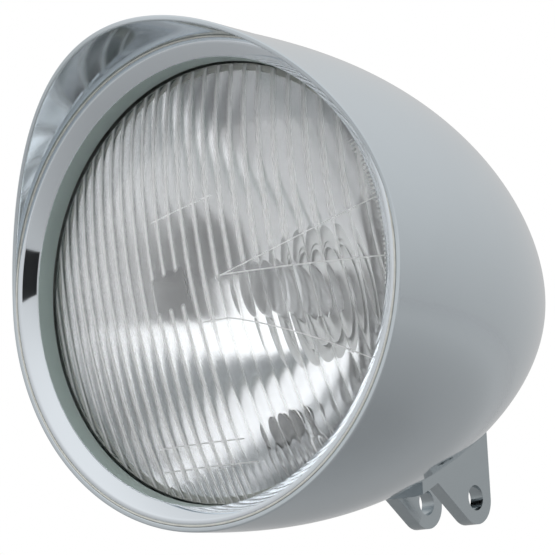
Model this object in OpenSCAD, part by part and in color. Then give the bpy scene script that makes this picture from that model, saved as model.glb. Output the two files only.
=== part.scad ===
// Round motorcycle headlight: a spun bullet shell with its own visor, a recessed trim ring,
// a domed fluted glass on a parabolic reflector, a halogen bulb and a two-eared mounting bracket.
// The lamp looks along -Y, +Z is up, and the origin is the middle of the mounting bolt's hole.
// Lengths along the lamp are measured back from the plane of the shell's mouth.

/* [Housing shell] */
// Inside radius of the round mouth
mouth_r = 75; // [68:0.5:90]
// Sheet thickness of the spun shell
shell_wall = 1.7; // [1.2:0.1:2.2]
// Length at which the bullet curve would close to a point
bullet_len = 180; // [172:1:230]
// Power of the bullet curve, higher keeps the flanks straighter
bullet_power = 2.4; // [2.2:0.1:2.8]
// Distance behind the mouth at which the round nose takes over
nose_from = 157; // [150:1:162]
// How far the visor reaches out at its top
visor_depth = 26.5; // [16:0.5:36]
// How much wider the visor is at its tip than at the mouth
visor_flare = 0.8; // [0:0.1:2]

/* [Mounting bracket] */
// Radius of the bolt hole through both ears
bolt_hole_r = 4.2; // [3.2:0.1:5.2]
// Bolt axis behind the mouth
bolt_back = 124.6; // [118:0.2:130]
// Bolt axis below the shell's skin
ear_reach = 20.1; // [17:0.1:26]
// Thickness of one ear
ear_t = 5; // [4:0.25:6.5]
// Free gap between the ears
ear_gap = 15; // [14.5:0.25:20]
// Radius of the rounded ear end
ear_end_r = 8.8; // [7.5:0.1:10]
// How far the ears' front foot lies ahead of the bolt
ear_foot = 30; // [27:0.5:33]
// Thickness of the saddle between the ears
saddle_t = 5; // [3.5:0.25:7]
// Radius of the screws that hold the bracket
bracket_screw_r = 2.4; // [1.9:0.1:2.6]
// Distance between the two bracket screws along the lamp
bracket_screw_pitch = 26; // [24:0.5:27]

/* [Wire exit] */
// Radius of the hole that the wires pass through
wire_r = 3.5; // [2.5:0.1:3.8]
// Rubber thickness of the grommet's neck
grommet_wall = 1.5; // [1:0.1:1.8]
// How far the grommet's flanges stand out past its neck
grommet_lip = 1.6; // [1:0.1:1.8]

/* [Trim ring] */
// Sheet thickness of the trim ring
ring_t = 1.2; // [0.8:0.1:1.6]
// Open seam between the ring and the mouth
ring_seam = 0.5; // [0.3:0.05:0.8]
// Width of the flat front flange
ring_flange = 1.6; // [1:0.1:2.4]
// Width of the bright cone inside the flange
cone_w = 4.1; // [3:0.1:5]
// Depth of the bright cone
cone_drop = 3.8; // [2.5:0.1:5]
// Depth at which the inner wall ends on the glass
wall_end = 10.4; // [8:0.1:12]
// Draft of the inner wall over its depth
wall_draft = 0.5; // [0.2:0.05:1]
// Depth at which the ring's skirt ends
skirt_end = 24; // [22:0.5:26]
// Step from the flange's edge in to the skirt
skirt_step = 0.9; // [0.7:0.05:1.1]

/* [Lens glass] */
// Height of the glass dome over its rim
dome_h = 15; // [10:0.5:20]
// Thickness of the glass
glass_t = 3.6; // [3:0.1:4.5]
// How far the glass rim reaches behind the ring's inner wall
glass_seat = 1.9; // [1.5:0.1:2.2]
// Width of one flute
flute_w = 5; // [3.5:0.1:7]
// Depth of one flute
flute_d = 0.7; // [0.3:0.05:1]
// Turn of the glass in its ring
glass_turn = 10; // [-15:1:15]

/* [Reflector] */
// Focal length of the parabolic bowl
focus = 20; // [18.5:0.25:22]
// Sheet thickness of the reflector
bowl_t = 0.9; // [0.6:0.1:1.2]
// Radius of the neck that takes the bulb
neck_r = 22; // [21:0.25:24]
// Thickness of the sealing bead between glass and reflector
seal_t = 1; // [0.6:0.1:1.6]
// Distance of the parking bulb below the lamp's axis
pilot_drop = 44; // [43:0.5:47]

/* [Main bulb] */
// Radius of the bulb's glass
bulb_r = 8.5; // [7:0.25:9]
// Length of the bulb's glass ahead of its collar
bulb_len = 44; // [38:0.5:48]
// Radius of the bulb's steel collar
collar_r = 19; // [18:0.25:20]
// Radius of the bulb's base
base_r = 12.5; // [11:0.25:13.5]
// Length of the bulb's base
base_len = 11; // [9:0.5:13]

/* [Hidden] */
eps = 0.01;
fit = 0.1;
rub = 0.3;
round_fn = 96;

outer_r = mouth_r + shell_wall;

// Bullet curve: outer radius, its slope and the tilt of its surface at a distance behind the mouth
function skin_r(y) = outer_r * (1 - pow(max(y, 0) / bullet_len, bullet_power));
function skin_slope(y) =
    -outer_r * bullet_power / bullet_len * pow(max(y, 0) / bullet_len, bullet_power - 1);
function skin_tilt(y) = atan(-skin_slope(y));

// Nose: a ball that meets the bullet curve without a crease
nose_tilt = skin_tilt(nose_from);
nose_r = skin_r(nose_from) / cos(nose_tilt);
nose_mid = nose_from - nose_r * sin(nose_tilt);

// Points of a shell surface at a given depth below the skin, from the mouth to the tip
skin_steps = 40;
nose_steps = 10;
function skin_points(depth) = concat(
    [for (i = [0 : skin_steps])
        let (y = nose_from * i / skin_steps, tilt = skin_tilt(y))
        [skin_r(y) - depth * cos(tilt), y - depth * sin(tilt)]],
    [for (i = [1 : nose_steps])
        let (tilt = nose_tilt + (90 - nose_tilt) * i / nose_steps, r = nose_r - depth)
        [r * cos(tilt), nose_mid + r * sin(tilt)]]
);
function reversed(list) = [for (i = [len(list) - 1 : -1 : 0]) list[i]];
function inner_r(y) = skin_r(y) - shell_wall / cos(skin_tilt(y));

// A flat face of half width w, laid along a round surface of radius r, stands off by this much
function sag(r, w) = r - sqrt(r * r - w * w);

bolt_drop = skin_r(bolt_back) + ear_reach;
ear_front = bolt_back - ear_foot;
ear_rear = bolt_back + ear_end_r;
bracket_mid = (ear_front + ear_rear) / 2;
bracket_half_w = ear_gap / 2 + ear_t;

visor_cut_r = (outer_r * outer_r + visor_depth * visor_depth) / (2 * visor_depth);

ring_r = mouth_r - ring_seam;
skirt_r = ring_r - skirt_step;
flange_r = ring_r - ring_flange;
cone_r = flange_r - cone_w;
wall_r = cone_r - wall_draft;
skirt_in = skirt_r - ring_t;

glass_r = wall_r + glass_seat;
dome_r = (wall_r * wall_r + dome_h * dome_h) / (2 * dome_h);
dome_mid = wall_end - dome_h + dome_r;
glass_back = wall_end + glass_t;

bowl_front = glass_back + seal_t;
bowl_r = wall_r - 2.8;
bowl_rim = glass_r + 1.1;
bowl_edge = 1.2;
vertex = bowl_front + bowl_r * bowl_r / (4 * focus);
neck_front = vertex - neck_r * neck_r / (4 * focus);
neck_len = 3;
neck_end = neck_front + neck_len;
neck_flange = 9;
neck_flange_r = neck_r + neck_flange;

holder_front = neck_end + bowl_t;
holder_t = 1;
holder_back = holder_front + holder_t;
holder_hole = collar_r - 1.5;
rivet_circle = neck_r + neck_flange * 0.6;
rivet_r = 1.4;
rivet_head_r = 2.4;
rivet_head_t = 0.8;

collar_t = 1.2;
collar_back = holder_back + collar_t;
base_back = collar_back + base_len;
clip_wire = 0.7;
knuckle_share = 1.08;

leaf_t = 0.7;
leaf_w = 10;
leaf_end = 40;
clip_count = 4;
spring_wire = 0.8;
spring_count = 4;
spring_half = 11;

// Moves the lamp from its own mouth to the frame of the mounting bolt
module on_bolt() {
    translate([0, -bolt_back, bolt_drop]) children();
}

// Turns a flat profile, drawn as radius against depth, round the lamp's axis
module spun(turn = 360) {
    rotate([-90, 0, 0]) rotate_extrude(angle = turn, $fn = round_fn) children();
}

// A cylinder along the lamp, from depth y0 to depth y1
module post(r, y0, y1) {
    translate([0, y0, 0]) rotate([-90, 0, 0]) cylinder(r = r, h = y1 - y0, $fn = round_fn);
}

// A ring along the lamp
module ring(r_out, r_in, y0, y1) {
    spun() translate([r_in, y0]) square([r_out - r_in, y1 - y0]);
}

// A round rod from one point to another
module rod(a, b, r) {
    span = b - a;
    length = norm(span);
    translate(a)
        rotate([0, acos(span[2] / length), atan2(span[1], span[0])])
            cylinder(r = r, h = length, $fn = 24);
}

// Bend of a wire, a touch thicker than the wire itself, turned so that its seam faces no rod
module knuckle(at, r) {
    translate(at) rotate([0, 0, 110]) sphere(r = r * knuckle_share, $fn = 24);
}

// Places a piece on the belly of the shell, with its +Z pointing out of the skin
module on_belly(y) {
    translate([0, y, -skin_r(y)]) rotate([180 + skin_tilt(y), 0, 0]) children();
}

// Repeats a piece round the lamp's axis
module around(count, first = 0) {
    for (i = [0 : count - 1]) rotate([0, first + 360 * i / count, 0]) children();
}

// Solid that fills the shell, up to a depth below its skin; a negative depth is proud of it
module bullet(depth) {
    spun() polygon(concat([[0, 0]], skin_points(depth)));
}

screw_depths = [
    bracket_mid - bracket_screw_pitch / 2,
    bracket_mid + bracket_screw_pitch / 2
];
screw_hole_r = bracket_screw_r + fit;
grommet_r = wire_r + grommet_wall;
grommet_hole_r = grommet_r + fit;

// Holes through the belly for the two bracket screws and for the grommet
module belly_holes() {
    for (y = screw_depths)
        on_belly(y) translate([0, 0, -8]) cylinder(r = screw_hole_r, h = 20, $fn = round_fn);
    on_belly(bracket_mid)
        translate([0, 0, -8]) cylinder(r = grommet_hole_r, h = 20, $fn = round_fn);
}

// Cuts the tube ahead of the mouth to a visor whose edge is an arc, tangent to the mouth's plane
module visor_cut() {
    reach = 2 * (outer_r + visor_flare + 1);
    translate([-reach / 2, -visor_cut_r, 0])
        rotate([0, 90, 0]) cylinder(r = visor_cut_r, h = reach, $fn = 360);
    translate([-reach / 2, -2 * visor_cut_r, -reach])
        cube([reach, 2 * visor_cut_r, reach]);
}

module housing_shell() {
    tube_end = -visor_depth - 2;
    profile = concat(
        [[mouth_r + visor_flare, tube_end], [outer_r + visor_flare, tube_end]],
        skin_points(0),
        reversed(skin_points(shell_wall))
    );
    color([0.8, 0.83, 0.86]) on_bolt() difference() {
        spun() polygon(profile);
        visor_cut();
        belly_holes();
    }
}

// Side outline of an ear: a round end with straight flanks up into the shell
module ear_outline() {
    foot = [ear_front, -skin_r(ear_front) * 0.9];
    mid = [bolt_back, -bolt_drop];
    span = mid - foot;
    aim = atan2(span[1], span[0]) - asin(ear_end_r / norm(span));
    touch = mid + ear_end_r * [sin(aim), -cos(aim)];
    translate(mid) circle(r = ear_end_r, $fn = round_fn);
    polygon([foot, touch, mid, [ear_rear, mid[1]], [ear_rear, -skin_r(ear_rear) * 0.6], foot]);
}

module mount_bracket() {
    color([0.78, 0.81, 0.84]) on_bolt() difference() {
        union() {
            for (side = [0, 1])
                mirror([side, 0, 0]) translate([ear_gap / 2, 0, 0])
                    rotate([90, 0, 90]) linear_extrude(height = ear_t) ear_outline();
            intersection() {
                bullet(-saddle_t);
                translate([-bracket_half_w, ear_front, -bolt_drop])
                    cube([2 * bracket_half_w, ear_rear - ear_front, bolt_drop]);
            }
        }
        bullet(0);
        belly_holes();
        translate([-bracket_half_w - 1, bolt_back, -bolt_drop])
            rotate([0, 90, 0])
                cylinder(r = bolt_hole_r, h = 2 * bracket_half_w + 2, $fn = round_fn);
    }
}

screw_head_r = bracket_screw_r * 1.75;
screw_head_t = bracket_screw_r * 1.1;
washer_r = bracket_screw_r * 2.1;
washer_t = 1;
socket_r = bracket_screw_r * 0.65;
function washer_lift(y) = shell_wall + sag(inner_r(y) * cos(skin_tilt(y)), washer_r) + fit;

module bracket_screws() {
    color([0.62, 0.64, 0.66]) on_bolt() for (y = screw_depths)
        on_belly(y) difference() {
            union() {
                translate([0, 0, -washer_lift(y) - washer_t])
                    cylinder(
                        r = bracket_screw_r, h = washer_lift(y) + washer_t + saddle_t, $fn = round_fn
                    );
                translate([0, 0, -washer_lift(y) - washer_t - screw_head_t])
                    cylinder(r = screw_head_r, h = screw_head_t, $fn = round_fn);
            }
            translate([0, 0, -washer_lift(y) - washer_t - screw_head_t - 1])
                cylinder(r = socket_r, h = 1 + screw_head_t * 0.6, $fn = 6);
        }
}

module bracket_washers() {
    color([0.7, 0.71, 0.7]) on_bolt() for (y = screw_depths)
        on_belly(y) translate([0, 0, -washer_lift(y) - washer_t]) difference() {
            cylinder(r = washer_r, h = washer_t, $fn = round_fn);
            translate([0, 0, -1]) cylinder(r = screw_hole_r, h = washer_t + 2, $fn = round_fn);
        }
}

module wire_grommet() {
    flange_t = 1.4;
    flange_r = grommet_r + grommet_lip;
    inside = shell_wall + sag(inner_r(bracket_mid) * cos(skin_tilt(bracket_mid)), flange_r) + fit;
    color([0.12, 0.12, 0.12]) on_bolt() on_belly(bracket_mid) difference() {
        union() {
            translate([0, 0, -inside]) cylinder(r = grommet_r, h = inside + saddle_t, $fn = round_fn);
            translate([0, 0, saddle_t + fit]) cylinder(r = flange_r, h = flange_t, $fn = round_fn);
            translate([0, 0, saddle_t - eps]) cylinder(r = grommet_r, h = 1, $fn = round_fn);
            translate([0, 0, -inside - flange_t])
                cylinder(r = flange_r, h = flange_t, $fn = round_fn);
        }
        translate([0, 0, -inside - 5])
            cylinder(r = wire_r, h = inside + saddle_t + 10, $fn = round_fn);
    }
}

spring_hole_r = spring_wire + 0.2;
spring_back = 21;
clip_y = skirt_end - 3.5;

module trim_ring() {
    color([0.86, 0.88, 0.9]) on_bolt() difference() {
        spun() polygon([
            [flange_r, 0],
            [ring_r, 0],
            [ring_r, ring_t],
            [skirt_r, ring_t],
            [skirt_r, skirt_end],
            [skirt_in, skirt_end],
            [skirt_in, 2 * ring_t],
            [cone_r + ring_t, cone_drop + ring_t / 2],
            [wall_r + ring_t, wall_end],
            [wall_r, wall_end],
            [cone_r, cone_drop]
        ]);
        around(spring_count) for (side = [-1, 1])
            rotate([0, side * spring_half, 0])
                translate([skirt_in - 2, spring_back - 0.9, 0])
                    rotate([0, 90, 0]) cylinder(r = spring_hole_r, h = 5, $fn = round_fn);
        around(clip_count, 45)
            translate([skirt_in - 2, clip_y, 0])
                rotate([0, 90, 0]) cylinder(r = rivet_r, h = 5, $fn = round_fn);
    }
}

// Rubber band that fills the seam behind the ring's flange
module rim_seal() {
    seal_front = ring_t + 1.2;
    seal_len = 7;
    color([0.1, 0.1, 0.1]) on_bolt()
        ring(inner_r(seal_front + seal_len) - fit / 2, skirt_r, seal_front, seal_front + seal_len);
}

leaf_r = skirt_in - sag(skirt_in, leaf_w / 2) - fit / 2;

// Leaf springs that wedge the ring in the shell
module ring_clips() {
    bow = inner_r(leaf_end - 3) - sag(inner_r(leaf_end - 3), leaf_w / 2) - fit;
    color([0.6, 0.62, 0.65]) on_bolt() around(clip_count, 45) difference() {
        translate([0, 0, -leaf_w / 2]) linear_extrude(height = leaf_w) polygon([
            [leaf_r, clip_y - 3.5],
            [leaf_r, skirt_end + 2],
            [bow, leaf_end - 4],
            [bow, leaf_end - 3],
            [leaf_r - 2, leaf_end],
            [leaf_r - 2 - leaf_t, leaf_end],
            [bow - leaf_t, leaf_end - 3],
            [leaf_r - leaf_t, skirt_end + 2],
            [leaf_r - leaf_t, clip_y - 3.5]
        ]);
        translate([leaf_r - 2, clip_y, 0])
            rotate([0, 90, 0]) cylinder(r = rivet_r, h = 5, $fn = round_fn);
    }
}

module clip_rivets() {
    rivet_in = leaf_r - leaf_t;
    rivet_out = skirt_r;
    head_t = 0.5;
    color([0.72, 0.73, 0.74]) on_bolt() around(clip_count, 45) translate([0, clip_y, 0])
        rotate([0, 90, 0]) {
            translate([0, 0, rivet_in])
                cylinder(r = rivet_r - fit / 2, h = rivet_out - rivet_in + head_t / 2, $fn = 48);
            translate([0, 0, rivet_in - rivet_head_t])
                cylinder(r = rivet_head_r, h = rivet_head_t, $fn = 48);
            translate([0, 0, rivet_out]) cylinder(r = rivet_head_r, h = head_t, $fn = 48);
        }
}

// Wire springs that press the lamp unit against the ring's inner wall
module unit_springs() {
    press_y = bowl_front + bowl_t + spring_wire * knuckle_share;
    press = [bowl_r + 2.6, press_y, 0];
    bend = [skirt_in - 1.2, spring_back - 0.9, 0];
    tip = [skirt_r - 0.2, spring_back - 0.9, 0];
    color([0.66, 0.68, 0.7]) on_bolt() around(spring_count) {
        rotate([0, -spring_half, 0]) spun(2 * spring_half)
            translate([press[0], press_y]) circle(r = spring_wire, $fn = 24);
        for (side = [-1, 1]) rotate([0, side * spring_half, 0]) {
            knuckle(press, spring_wire);
            rod(press, bend, spring_wire);
            knuckle(bend, spring_wire);
            rod(bend, tip, spring_wire);
        }
    }
}

// Radius of the fluted inner face about the glass's own cross axis, at a distance x along it
function flute_depth(x, width) =
    let (part = x / width - floor(x / width) - 0.5) flute_d * (1 - 4 * part * part);
function flute_r(x, width) = sqrt(pow(dome_r - glass_t, 2) - x * x) + flute_depth(x, width);

// Body that moulds one band of flutes into the back of the glass, between two tilts up its dome
module flute_band(width, low, high) {
    half = wall_r - 1;
    faces = 4;
    step = width / faces;
    count = ceil(half / step);
    intersection() {
        translate([0, dome_mid, 0])
            rotate([0, 90, 0]) rotate([0, 0, 270 - high])
                rotate_extrude(angle = high - low, $fn = round_fn)
                    polygon(concat(
                        [[dome_r * 0.7, -count * step], [dome_r * 0.7, count * step]],
                        [for (i = [count : -1 : -count]) [flute_r(i * step, width), i * step]]
                    ));
        post(half, wall_end - dome_h, glass_back + 1);
    }
}

// Domed glass in three fluted zones, with a plain bar left proud of the flutes between two zones
module lens_glass() {
    edge = 30;
    upper = 0;
    lower = -20;
    bar = 0.2;
    bar_lift = 0.2;
    color([0.85, 0.9, 0.92, 0.5]) on_bolt() rotate([0, -glass_turn, 0]) difference() {
        union() {
            post(glass_r, wall_end, glass_back);
            intersection() {
                translate([0, dome_mid, 0]) sphere(r = dome_r, $fn = 180);
                post(wall_r - fit, wall_end - dome_h - 1, glass_back);
            }
        }
        intersection() {
            translate([0, dome_mid, 0]) sphere(r = dome_r - glass_t - bar_lift, $fn = 180);
            post(wall_r - 1.4, wall_end - dome_h, glass_back + 1);
        }
        flute_band(flute_w, upper + bar, edge);
        flute_band(flute_w, lower + bar, upper);
        flute_band(flute_w * 0.6, -edge, lower);
    }
}

module lens_seal() {
    color([0.2, 0.2, 0.2]) on_bolt() ring(glass_r, bowl_r, glass_back, bowl_front);
}

function bowl_y(r) = vertex - r * r / (4 * focus);

// Solid under the reflector's mirror face, grown outwards by an amount
module bowl(grow) {
    steps = 24;
    spun() polygon(concat(
        [[0, bowl_front - 1], [bowl_r + grow, bowl_front - 1]],
        [for (i = [0 : steps])
            let (
                r = bowl_r + (neck_r - bowl_r) * i / steps,
                slope = r / (2 * focus),
                tilt = atan(slope)
            )
            [r + grow * sin(tilt), bowl_y(r) + grow * cos(tilt)]],
        [[0, bowl_y(neck_r) + grow]]
    ));
}

boss_back = bowl_y(pilot_drop - 9) + 1;
pilot_r = 5;
pilot_hole_r = 6;
boss_r = pilot_hole_r + bowl_t;

module reflector() {
    color([0.88, 0.88, 0.86]) on_bolt() difference() {
        union() {
            intersection() {
                bowl(bowl_t);
                post(bowl_rim, bowl_front, vertex + 5);
            }
            ring(bowl_rim, bowl_r - 1, bowl_front, bowl_front + bowl_t);
            ring(bowl_rim, bowl_rim - bowl_t, bowl_front, bowl_front + bowl_t + bowl_edge);
            post(neck_r + bowl_t, neck_front, neck_end);
            post(neck_flange_r, neck_end, neck_end + bowl_t);
            translate([0, 0, -pilot_drop]) post(boss_r, bowl_y(pilot_drop), boss_back);
        }
        bowl(0);
        post(neck_r, neck_front - 5, neck_end + 5);
        translate([0, 0, -pilot_drop]) post(pilot_hole_r, bowl_front, boss_back + 1);
        around(3, 90) translate([rivet_circle, 0, 0]) post(rivet_r, neck_end - 1, neck_end + 5);
    }
}

hinge_y = holder_back + 2.4;
hinge_x = holder_hole - 1.5;
hinge_z = -23.5;
finger_z = 21.6;

// Plate that carries the bulb, with two hinge lugs and a catch for its wire clip
module bulb_holder() {
    lug = [1, 4, 5];
    hook_t = 1;
    hook_y = collar_back + 2 * clip_wire * knuckle_share + fit;
    catch_z = finger_z + clip_wire * knuckle_share + fit;
    color([0.7, 0.71, 0.72]) on_bolt() difference() {
        union() {
            ring(neck_flange_r, holder_hole, holder_front, holder_back);
            for (side = [-1, 1])
                translate([side * hinge_x - lug[0] / 2, holder_back - eps, hinge_z - lug[2] / 2])
                    cube(lug);
            translate([-3, holder_back - eps, catch_z])
                cube([6, hook_y + hook_t - holder_back, hook_t]);
            translate([-3, hook_y, catch_z - 2]) cube([6, hook_t, 2 + eps]);
        }
        for (side = [-1, 1])
            translate([side * hinge_x - 2, hinge_y, hinge_z])
                rotate([0, 90, 0]) cylinder(r = clip_wire + fit, h = 4, $fn = 32);
        around(3, 90) translate([rivet_circle, 0, 0]) post(rivet_r, neck_end - 1, neck_end + 9);
    }
}

module holder_rivets() {
    color([0.75, 0.75, 0.74]) on_bolt() around(3, 90) translate([rivet_circle, 0, 0]) {
        post(rivet_r - fit / 2, neck_end, holder_back);
        post(rivet_head_r, neck_end - rivet_head_t, neck_end);
        post(rivet_head_r, holder_back, holder_back + rivet_head_t);
    }
}

// Wire bail over the bulb's collar: two arcs, two legs to the hinge lugs and a finger loop on top
module bulb_clip() {
    bail_r = 15.5;
    bail_y = collar_back + clip_wire * knuckle_share;
    drop = asin(7 / bail_r);
    crown = 12;
    color([0.6, 0.62, 0.64]) on_bolt() for (side = [0, 1]) mirror([side, 0, 0]) {
        foot = [bail_r * cos(drop), bail_y, -bail_r * sin(drop)];
        shoulder = [bail_r * sin(crown), bail_y, bail_r * cos(crown)];
        hinge = [hinge_x - 2.5, hinge_y, hinge_z];
        tip = [0, bail_y, finger_z];
        rotate([0, crown - 90, 0]) spun(90 - crown + drop)
            translate([bail_r, bail_y]) circle(r = clip_wire, $fn = 24);
        knuckle(foot, clip_wire);
        rod(foot, hinge, clip_wire);
        knuckle(hinge, clip_wire);
        rod(hinge, hinge + [4, 0, 0], clip_wire);
        knuckle(shoulder, clip_wire);
        rod(shoulder, tip, clip_wire);
        knuckle(tip, clip_wire);
    }
}

bulb_neck_r = bulb_r * 0.72;

module bulb_glass() {
    tip = collar_back - bulb_len;
    shoulder = holder_front - 6;
    color([0.75, 0.78, 0.8, 0.6]) on_bolt() {
        post(bulb_neck_r, shoulder, collar_back - collar_t - 0.4);
        post(bulb_r, tip + bulb_r, shoulder);
        intersection() {
            translate([0, tip + bulb_r, 0]) sphere(r = bulb_r, $fn = round_fn);
            post(bulb_r + 1, tip - 1, tip + bulb_r);
        }
    }
}

module bulb_collar() {
    cup_r = collar_r - 3;
    tab_w = 8;
    color([0.72, 0.72, 0.7]) on_bolt() difference() {
        union() {
            post(collar_r, holder_back, collar_back);
            post(cup_r, holder_front - 2, holder_back + eps);
            around(3, 90)
                translate([collar_r - 1, holder_back, -tab_w / 2]) cube([3, collar_t, tab_w]);
        }
        post(cup_r - 0.8, holder_front - 3, collar_back - collar_t);
    }
}

base_step = 3;

module bulb_base() {
    color([0.25, 0.24, 0.23]) on_bolt() {
        post(base_r, collar_back, base_back - base_step);
        post(base_r - 2, base_back - base_step, base_back);
    }
}

// Three blade contacts, one above and one on each side
module bulb_blades() {
    blade = [8, 9, 0.8];
    offset_r = base_r - 5;
    color([0.8, 0.72, 0.5]) on_bolt() {
        translate([-blade[0] / 2, base_back, offset_r]) cube(blade);
        for (side = [-1, 1])
            translate([side * offset_r - blade[2] / 2, base_back, -blade[0] / 2])
                cube([blade[2], blade[1], blade[0]]);
    }
}

// Rubber boot that grips the neck flange and closes round the bulb's base
module dust_boot() {
    boot_t = 1.6;
    grip_r = neck_flange_r + rub;
    grip_front = neck_end - 2.5;
    grip_lip = 1.2;
    crown = holder_back + 6;
    lip_r = base_r + rub;
    boot_back = base_back - base_step;
    color([0.1, 0.1, 0.1]) on_bolt() spun() polygon([
        [grip_r - grip_lip, grip_front],
        [grip_r + boot_t, grip_front],
        [grip_r + boot_t, crown],
        [grip_r - 4, crown + boot_t],
        [lip_r + boot_t + 5, boot_back - 3],
        [lip_r + boot_t, boot_back],
        [lip_r, boot_back],
        [lip_r, boot_back - 2],
        [lip_r + 5, boot_back - 3 - boot_t],
        [grip_r - 5, crown],
        [grip_r, crown - 2],
        [grip_r, neck_end - rub],
        [grip_r - grip_lip, neck_end - rub]
    ]);
}

pilot_tip = boss_back - 20;

module pilot_bulb() {
    color([0.8, 0.82, 0.84, 0.6]) on_bolt() translate([0, 0, -pilot_drop]) {
        post(pilot_r, pilot_tip + pilot_r, boss_back - 3);
        intersection() {
            translate([0, pilot_tip + pilot_r, 0]) sphere(r = pilot_r, $fn = 64);
            post(pilot_r + 1, pilot_tip - 1, pilot_tip + pilot_r);
        }
    }
}

module pilot_socket() {
    flange_t = 2;
    tail = 9;
    color([0.12, 0.12, 0.12]) on_bolt() translate([0, 0, -pilot_drop]) difference() {
        union() {
            post(pilot_hole_r - fit, boss_back - 8, boss_back);
            post(boss_r + 0.6, boss_back, boss_back + flange_t);
            post(pilot_hole_r - 1, boss_back + flange_t, boss_back + flange_t + tail);
        }
        post(pilot_r + fit / 2, boss_back - 9, boss_back - 3);
    }
}

housing_shell();
mount_bracket();
bracket_screws();
bracket_washers();
wire_grommet();
trim_ring();
rim_seal();
ring_clips();
clip_rivets();
unit_springs();
lens_glass();
lens_seal();
reflector();
bulb_holder();
holder_rivets();
bulb_clip();
bulb_glass();
bulb_collar();
bulb_base();
bulb_blades();
dust_boot();
pilot_bulb();
pilot_socket();
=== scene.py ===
"""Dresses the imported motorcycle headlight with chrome, mirror and fluted glass in a plain pale studio."""

import logging
import math
from dataclasses import dataclass, field
from enum import Enum
from typing import Iterable, Sequence

import bmesh
import bpy
from mathutils import Matrix, Vector


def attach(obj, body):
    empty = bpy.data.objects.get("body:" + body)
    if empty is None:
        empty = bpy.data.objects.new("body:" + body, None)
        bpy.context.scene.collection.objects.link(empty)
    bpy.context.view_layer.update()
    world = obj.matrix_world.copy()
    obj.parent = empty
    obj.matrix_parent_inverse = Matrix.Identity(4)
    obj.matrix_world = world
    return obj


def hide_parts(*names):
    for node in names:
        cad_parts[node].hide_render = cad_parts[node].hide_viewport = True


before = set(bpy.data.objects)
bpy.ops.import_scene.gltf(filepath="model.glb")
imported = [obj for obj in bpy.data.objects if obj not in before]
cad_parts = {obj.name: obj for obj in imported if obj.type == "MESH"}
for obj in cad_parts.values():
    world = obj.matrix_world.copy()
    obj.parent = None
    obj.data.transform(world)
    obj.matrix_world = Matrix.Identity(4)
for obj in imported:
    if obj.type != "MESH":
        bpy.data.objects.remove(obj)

LOG = logging.getLogger("headlight")
BODY = "root"
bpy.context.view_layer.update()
POLE_RADIUS = 1e-7
COLUMN_POLE = 1e-6
BLOCK_LIMITS = ("Block Left", "Block Right", "Block Foot", "Block Top")
BUMP_DEPTH = 0.0002

Point2 = tuple[float, float]
Point3 = tuple[float, float, float]
Colour = tuple[float, float, float]
Mesh = bpy.types.Mesh
Material = bpy.types.Material
Node = bpy.types.Node
Piece = bpy.types.Object
Socket = bpy.types.NodeSocket
Value = Socket | float
Inputs = dict[str | int, object]


@dataclass(frozen=True)
class LampAxis:
    """Place of the lamp's own axis in the frame of the mounting bolt, in metres."""

    bolt_back: float = 0.1246
    bolt_drop: float = 0.065076

    def centre(self) -> Vector:
        """Returns the middle of the lamp's mouth."""
        return Vector((0.0, -self.bolt_back, self.bolt_drop))

    def at(self, radius: float, depth: float, turn: float) -> Vector:
        """Returns the point at a radius from the axis and a depth behind the mouth, turned from +X to +Z."""
        return self.centre() + Vector((radius * math.cos(turn), depth, radius * math.sin(turn)))

    def ring(self, radius: float, depth: float, turns: Sequence[float]) -> list[Vector]:
        """Returns the points of a circle round the axis, or its middle where it's a pole.

        Args:
            radius: The circle's radius.
            depth: Its depth behind the mouth.
            turns: The angles of its points.

        Returns:
            The points, or the one point of a pole.
        """
        if radius < POLE_RADIUS:
            return [self.at(0.0, depth, 0.0)]
        return [self.at(radius, depth, turn) for turn in turns]


AXIS = LampAxis()


def even_turns(count: int) -> list[float]:
    """Returns even steps of one whole turn, in radians."""
    return [math.tau * k / count for k in range(count)]


# ---------------------------------------------------------------- finishes


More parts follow.
